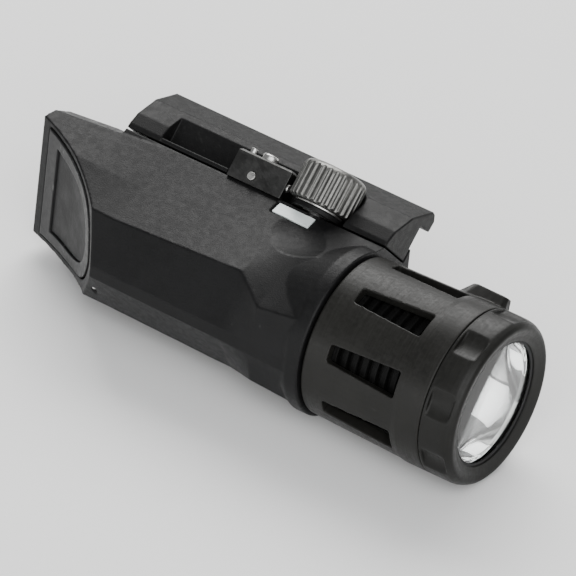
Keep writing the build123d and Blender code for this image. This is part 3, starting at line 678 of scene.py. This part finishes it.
def tube(path, radius, sides=10):
    """A round wire along points, with domed ends."""
    pts = [Vector(p) for p in path]
    verts, faces = [], []
    t0 = (pts[1] - pts[0]).normalized()
    side = t0.orthogonal().normalized()
    rings = []
    for i, p in enumerate(pts):
        t = (pts[min(i + 1, len(pts) - 1)] - pts[max(i - 1, 0)]).normalized()
        side = (side - t * side.dot(t)).normalized()
        up = t.cross(side)
        steps = [(0.0, 1.0)]
        if i == 0:
            steps = [(-0.85, 0.5), (-0.45, 0.88), (0.0, 1.0)]
        elif i == len(pts) - 1:
            steps = [(0.0, 1.0), (0.45, 0.88), (0.85, 0.5)]
        for along, size in steps:
            ring = []
            for k in range(sides):
                a = 2 * math.pi * k / sides
                ring.append(len(verts))
                verts.append(p + t * (along * radius) + (side * math.cos(a) + up * math.sin(a)) * radius * size)
            rings.append(ring)
    for a, b in zip(rings, rings[1:]):
        for k in range(sides):
            j = (k + 1) % sides
            faces.append((a[k], a[j], b[j], b[k]))
    faces.append(tuple(reversed(rings[0])))
    faces.append(tuple(rings[-1]))
    return verts, faces


def mesh_of(parts, name="m"):
    verts, faces = [], []
    for v, f in parts:
        o = len(verts)
        verts += [tuple(p) for p in v]
        faces += [tuple(i + o for i in q) for q in f]
    me = bpy.data.meshes.new(name)
    me.from_pydata(verts, [], faces)
    bm = bmesh.new()
    bm.from_mesh(me)
    bmesh.ops.recalc_face_normals(bm, faces=bm.faces)
    bm.to_mesh(me)
    bm.free()
    smooth_shaded(me, 50)
    return me


def coil(origin, axis, length, r0, r1, turns, wire, flat=0.75, per=28):
    """Helix along axis with its first and last turns closed up."""
    axis = Vector(axis).normalized()
    u = axis.orthogonal().normalized()
    v = axis.cross(u)
    n = int(turns * per)
    path = []
    for i in range(n + 1):
        t = i / n
        k = t * turns
        grow = min(max((k - flat) / max(turns - 2 * flat, 1e-6), 0), 1)
        ease_in = min(k / flat, 1) * 0.0
        r = r0 + (r1 - r0) * t
        z = wire * 0.6 * min(k / flat, 1) + (length - wire * 1.2) * grow + wire * 0.6 * min(max((k - (turns - flat)) / flat, 0), 1) + ease_in
        a = 2 * math.pi * k
        path.append(Vector(origin) + axis * z + (u * math.cos(a) + v * math.sin(a)) * r)
    return tube(path, wire / 2)


def clamp_point(a, x, b):
    """Millimetres along the clamp axis from the barrel axis, forward, and across, as a point in metres."""
    return AXIS_O + CLAMP * (a * MM) + Vector((x * MM, 0, 0)) + ACROSS * (b * MM)


def block(size, centre, basis, bevel=0.12, steps=3):
    """A box with rounded edges, given in millimetres, on a basis of three unit vectors."""
    bm = bmesh.new()
    bmesh.ops.create_cube(bm, size=1.0)
    bmesh.ops.scale(bm, vec=Vector(size) * MM, verts=bm.verts)
    bmesh.ops.bevel(bm, geom=bm.edges[:], offset=bevel * MM, segments=steps, profile=0.5, affect="EDGES")
    m = Matrix((basis[0], basis[1], basis[2])).transposed().to_4x4()
    m.translation = centre
    bmesh.ops.transform(bm, matrix=m, verts=bm.verts)
    verts = [v.co.copy() for v in bm.verts]
    bm.verts.index_update()
    faces = [tuple(v.index for v in f.verts) for f in bm.faces]
    bm.free()
    return verts, faces


# ================================================================= housing, jaw, button
def shoulder_weight(co):
    """Where the body swells to the collar, the moulded surface flows; elsewhere it stays crisp."""
    x, y, z = co[:, 0] / MM, (co[:, 1] + H) / MM, co[:, 2] / MM
    r = np.hypot(y, z)
    along = np.clip((x - 8.0) / 2.0, 0, 1) * np.clip((24.4 - x) / 1.2, 0, 1)
    skin = np.clip((r - 9.8) / 0.6, 0, 1) * np.clip((5.5 - y) / 2.0, 0, 1)
    return along * skin


refined("main_housing", "housing", 0.2, 2, 190000, 4, "housing_shell", shoulder_weight, 0.34)
refined("moving_jaw", "jaw", 0.16, 2, 90000, 2, "clamp_jaw", lambda co: np.full(len(co), 0.6), 0.3)
refined("tail_button", "button", 0.11, 2, 90000, 2, "tail_button_v", lambda co: np.full(len(co), 0.6), 0.2)
refined("button_pad", "pad", 0.08, 2, 40000, 1, "button_pad_v", lambda co: np.full(len(co), 0.6), 0.14)

# ================================================================= head
refined("head_shell", "head", 0.15, 2, 150000, 2, "head_shell_v", lambda co: np.full(len(co), 0.7), 0.26)
def flats_weight(co):
    """The finger flats round the bezel melt into its curve; the lip and the seam stay crisp."""
    x, r = co[:, 0] / MM, np.hypot(co[:, 1] + H, co[:, 2]) / MM
    return 0.25 + 0.75 * np.clip((x - 49.6) / 0.5, 0, 1) * np.clip((54.2 - x) / 0.5, 0, 1) * np.clip((r - 12.6) / 0.6, 0, 1)


refined("bezel_ring", "bezel", 0.14, 2, 110000, 14, "bezel_ring_v", flats_weight, 0.24)
refined("heat_sink", "fins", 0.16, 1, 90000, 1, "heat_sink_v", lambda co: np.full(len(co), 0.5), 0.3)
refined("neck_ring", "fins", 0.15, 1, 60000, 1, "neck_ring_v", lambda co: np.full(len(co), 0.5), 0.3)
refined("retaining_ring", "steel", 0.12, 1, 30000, 0, "retaining_ring_v", None, 0.2)

# lens: flat window with eased rim
lens_me = lathe(rounded([(52.57, 0, 0), (52.57, 11.68), (53.83, 11.68), (53.83, 0, 0)], 0.22), 160)
smooth_shaded(lens_me, 40)
place("lens_window", lens_me, M["lens"], "head", ("lens",))

gasket_me = lathe(rounded([(53.88, 10.52), (53.88, 11.73), (54.17, 11.73), (54.17, 10.52)], 0.1), 160)
smooth_shaded(gasket_me, 60)
place("lens_gasket_v", gasket_me, M["rubber"], "head", ("lens_gasket",))

# reflector: parabola turned in fine steps, with a rolled rim and a flange
focal, apex = 1.88, 36.4
inner = [(apex + r * r / (4 * focal), r) for r in np.linspace(3.02, 10.68, 46)]
outer = [(x + 0.25, r + 0.7) for x, r in inner]
prof = inner + [(51.9, 10.68), (52.12, 10.78), (52.18, 10.95), (52.18, 11.36), (52.08, 11.44)] + outer[::-1]
refl_me = lathe(prof, 160)
smooth_shaded(refl_me, 45)
place("reflector_v", refl_me, M["mirror"], "head", ("reflector",))

# light engine: ceramic base, four pads, phosphor die and a silicone dome
X3 = (Vector((1, 0, 0)), Vector((0, 1, 0)), Vector((0, 0, 1)))


def at(x, y, z):
    return Vector((x * MM, -H + y * MM, z * MM))


base = mesh_of([block((0.55, 3.36, 3.36), at(36.92, 0, 0), X3, 0.1)])
place("led_base", base, M["ceramic"], "head", ("led_emitter",))
pads = mesh_of([block((0.06, 0.5, 1.0), at(37.215, sy * 1.28, sz * 0.85), X3, 0.02, 2) for sy in (-1, 1) for sz in (-1, 1)])
place("led_pads", pads, M["gold"], "head", ())
die = mesh_of([block((0.14, 1.32, 1.32), at(37.27, 0, 0), X3, 0.05)])
place("led_die", die, M["phosphor"], "head", ())
dome_prof = [(37.21, 0), (37.21, 1.38), (37.32, 1.38)] + [(37.32 + math.sin(t) * 1.2, 1.38 * math.cos(t)) for t in np.linspace(0.05, math.pi / 2, 18)]
dome_prof[-1] = (38.52, 0)
dome_me = lathe(dome_prof, 48)
smooth_shaded(dome_me, 60)
place("led_dome", dome_me, M["silicone"], "head", ())

# metal-core board under the light engine
board = lathe(rounded([(35.27, 0, 0), (35.27, 7.95), (36.58, 7.95), (36.58, 0, 0)], 0.15), 96)
smooth_shaded(board, 40)
place("led_board_v", board, M["board_metal"], "head", ("led_board",))

# driver board with its parts
drv = lathe(rounded([(30.42, 0, 0), (30.42, 9.05), (31.58, 9.05), (31.58, 0, 0)], 0.1), 96)
smooth_shaded(drv, 40)
place("driver_board_v", drv, M["pcb"], "head", ("driver_board",))
coil_parts = [block((1.3, 3.9, 3.9), at(32.25, 3.5, 3.5), X3, 0.25), block((1.2, 2.9, 1.9), at(32.2, -4.0, 2.0), X3, 0.1),
              block((1.2, 2.3, 3.3), at(32.2, 1.0, -5.0), X3, 0.1)]
place("driver_parts", mesh_of(coil_parts), M["chip"], "head", ())
legs = [block((0.35, 0.35, 0.5), at(31.75, -4.9 + 0.6 * i, s), X3, 0.05, 2) for i in range(4) for s in (0.85, 3.15)]
legs += [block((0.4, 0.5, 0.7), at(31.78, 1.0, z), X3, 0.05, 2) for z in (-7.0, -3.0)]
place("driver_leads", mesh_of(legs), M["board_metal"], "head", ())

# neck O-ring
ring_prof = [(23.9 + 0.6 * math.cos(t), 10.88 + 0.6 * math.sin(t)) for t in np.linspace(0, 2 * math.pi, 20, endpoint=False)]
oring = lathe(ring_prof, 120)
smooth_shaded(oring)
place("neck_o_ring_v", oring, M["rubber"], "head", ("neck_o_ring",))

# spring-loaded positive contact: turned brass with grooves
pos = lathe(rounded([(23.64, 0, 0), (23.64, 1.55), (25.2, 2.36), (26.4, 2.36), (26.4, 2.1), (27.0, 2.1), (27.0, 2.36), (28.6, 2.36),
                     (28.6, 4.15), (30.33, 4.15), (30.33, 0, 0)], 0.15), 64)
smooth_shaded(pos, 50)
place("positive_contact_v", pos, M["brass"], "head", ("positive_contact",))

# ================================================================= power train in the body
cell_prof = rounded([(-11.0, 0, 0), (-11.0, 7.4, 0.3), (-10.9, 7.9, 0.3), (-10.5, 8.43, 0.4), (21.4, 8.43, 0.3), (22.2, 7.7, 0.3), (22.28, 7.2, 0.2), (22.1, 6.6, 0.2),
                     (22.1, 3.9, 0.2), (22.4, 3.4, 0.2), (23.2, 3.05, 0.2), (23.48, 2.7, 0.2), (23.48, 0, 0)], 0.2)
cell_me = lathe(cell_prof, 96)
smooth_shaded(cell_me, 50)
place("battery_cell_v", cell_me, M["cell"], "housing", ("battery_cell",))

sleeve_me = lathe(rounded([(-14.2, 8.56), (-14.2, 8.84), (18.98, 8.84), (18.98, 8.56)], 0.06, 2), 96)
smooth_shaded(sleeve_me, 50)
place("contact_sleeve_v", sleeve_me, M["brass"], "housing", ("contact_sleeve",))

tail_spring = mesh_of([coil(at(-14.05, 0, 0), (1, 0, 0), 2.45 * MM, 6.18 * MM, 3.2 * MM, 4.2, 0.74 * MM, 0.8)])
place("tail_contact_spring_v", tail_spring, M["gold"], "housing", ("tail_contact_spring",))

refined("switch_carrier", "carrier", 0.12, 1, 30000, 0, "switch_carrier_v", None, 0.2)
refined("switch_board", "pcb", 0.1, 1, 30000, 0, "switch_board_v", None, 0.2)
refined("tact_switch", "steel", 0.07, 1, 30000, 0, "tact_switch_v", None, 0.12)
plg = lathe(rounded([(-19.2, 0, 0), (-19.2, 0.94), (-18.12, 0.94), (-18.12, 0, 0)], 0.2), 40)
smooth_shaded(plg, 50)
place("switch_plunger_v", plg, M["plunger"], "plunger", ("switch_plunger",))
seal = lathe(rounded([(-16.95, 4.77), (-16.95, 5.78), (-16.47, 5.78), (-16.47, 4.77)], 0.18), 72)
smooth_shaded(seal, 60)
place("button_seal_v", seal, M["rubber"], "housing", ("button_seal",))

spring_me = mesh_of([coil(at(-16.62, 0, 0), (-1, 0, 0), 3.1 * MM, 3.84 * MM, 3.84 * MM, 5.4, 0.48 * MM, 0.8)])
ret = place("button_return_spring_v", spring_me, M["steel"], None, ())
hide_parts("button_return_spring")
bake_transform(ret)

refined("button_pivot_pin", "steel", 0.05, 1, 16000, 0, "button_pivot_pin_v", None, 0.08)

# ================================================================= clamp hardware
jaw_coils = mesh_of([coil(clamp_point(11.32, x, -3.7), CLAMP, 6.05 * MM, 1.34 * MM, 1.34 * MM, 7.5, 0.54 * MM, 0.8) for x in (-12.0, 1.2)])
js = place("jaw_springs_v", jaw_coils, M["steel"], None, ())
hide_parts("jaw_springs")
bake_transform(js)

refined("jaw_guide_pins", "steel", 0.09, 1, 30000, 0, "jaw_guide_pins_v", None, 0.14)
refined("clamp_insert", "brass", 0.06, 1, 24000, 0, "clamp_insert_v", None, 0.1)
refined("clamp_screw", "dark_steel", 0.06, 2, 60000, 1, "clamp_screw_v", lambda co: np.full(len(co), 0.5), 0.1)
refined("screw_clip", "steel", 0.05, 1, 24000, 0, "screw_clip_v", None, 0.08)
refined("jaw_washer", "steel", 0.05, 1, 24000, 0, "jaw_washer_v", None, 0.08)
refined("thumb_knob", "knob", 0.07, 2, 150000, 1, "thumb_knob_v", lambda co: np.full(len(co), 0.5), 0.12)
refined("detent_block", "block", 0.07, 2, 70000, 1, "detent_block_v", lambda co: np.full(len(co), 0.6), 0.12)
refined("detent_screw", "steel", 0.05, 1, 30000, 0, "detent_screw_v", None, 0.08)
refined("detent_dowels", "steel", 0.045, 1, 24000, 1, "detent_dowels_v", lambda co: np.full(len(co), 0.5), 0.08)
refined("detent_plunger", "steel", 0.045, 1, 16000, 0, "detent_plunger_v", None, 0.08)
refined("index_plate", "plate", 0.05, 2, 30000, 1, "index_plate_v", lambda co: np.full(len(co), 0.5), 0.08)
refined("recoil_lug", "lug", 0.08, 2, 50000, 1, "recoil_lug_v", lambda co: np.full(len(co), 0.6), 0.14)
refined("recoil_lug_screws", "dark_steel", 0.06, 1, 50000, 0, "recoil_lug_screws_v", None, 0.1)

# ================================================================= studio
R = Vector((0.8236, 0.559, 0.0916)).normalized()
D = Vector((0.416, -0.706, 0.572)).normalized()
U = D.cross(R).normalized()
R = U.cross(D).normalized()

floor_z = CAD_LO.z - 0.0001
bm = bmesh.new()
steps = np.linspace(-7.0, 7.0, 29)
grid = [[bm.verts.new((x, y - H, floor_z)) for y in steps] for x in steps]
for i in range(len(steps) - 1):
    for j in range(len(steps) - 1):
        bm.faces.new((grid[i][j], grid[i + 1][j], grid[i + 1][j + 1], grid[i][j + 1]))
floor_me = bpy.data.meshes.new("studio_floor")
bm.to_mesh(floor_me)
bm.free()
floor = bpy.data.objects.new("studio_floor", floor_me)
floor.data.materials.append(backdrop_paper("backdrop_paper"))
bpy.context.scene.collection.objects.link(floor)
floor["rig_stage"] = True

lo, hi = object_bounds()
corners = [Vector((x, y, z)) for x in (lo.x, hi.x) for y in (lo.y, hi.y) for z in (lo.z, hi.z)]
target = (lo + hi) / 2
us, vs = [], []
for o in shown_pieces():
    co = points(o.data)
    q = co - np.array(target)
    us += [float((q @ np.array(R)).min()), float((q @ np.array(R)).max())]
    vs += [float((q @ np.array(U)).min()), float((q @ np.array(U)).max())]
target = target + R * ((min(us) + max(us)) / 2) + U * ((min(vs) + max(vs)) / 2)
span = max(max(us) - min(us), max(vs) - min(vs))

cam = bpy.data.cameras.new("camera")
cam_ob = bpy.data.objects.new("camera", cam)
bpy.context.scene.collection.objects.link(cam_ob)
dist = 3.0
cam.sensor_width = 36.0
cam.lens = 36.0 * dist / (span * 1.12)
cam.clip_start, cam.clip_end = 0.05, 40.0
m = Matrix((R, U, D)).transposed().to_4x4()
m.translation = target + D * dist
cam_ob.matrix_world = m
bpy.context.scene.camera = cam_ob


def area(name, direction, distance, size, power, colour=(1, 1, 1), aim=None):
    light = bpy.data.lights.new(name, "AREA")
    light.shape = "RECTANGLE"
    light.size, light.size_y = size
    light.energy = power
    light.color = colour
    ob = bpy.data.objects.new(name, light)
    bpy.context.scene.collection.objects.link(ob)
    where = (aim or target) + Vector(direction).normalized() * distance
    ob.location = where
    ob.rotation_mode = "QUATERNION"
    ob.rotation_quaternion = ((aim or target) - where).to_track_quat("-Z", "Y")
    return ob


area("key_softbox", (-0.35, 0.62, 0.70), 0.9, (0.8, 0.6), 12.0, (1.0, 0.995, 0.985))
area("front_softbox", D + R * 0.12 - U * 0.05, 1.2, (1.3, 1.3), 20.0, (0.99, 0.995, 1.0))
area("low_softbox", (-0.35, -1.0, 0.13), 0.8, (1.0, 0.16), 2.0, (0.99, 0.995, 1.0))

world = bpy.data.worlds.new("studio_world")
world.use_nodes = True
wn = world.node_tree.nodes
bg = wn.get("Background") or wn.new("ShaderNodeBackground")
bg.inputs["Color"].default_value = (0.93, 0.94, 0.95, 1)
bg.inputs["Strength"].default_value = 0.42
bpy.context.scene.world = world
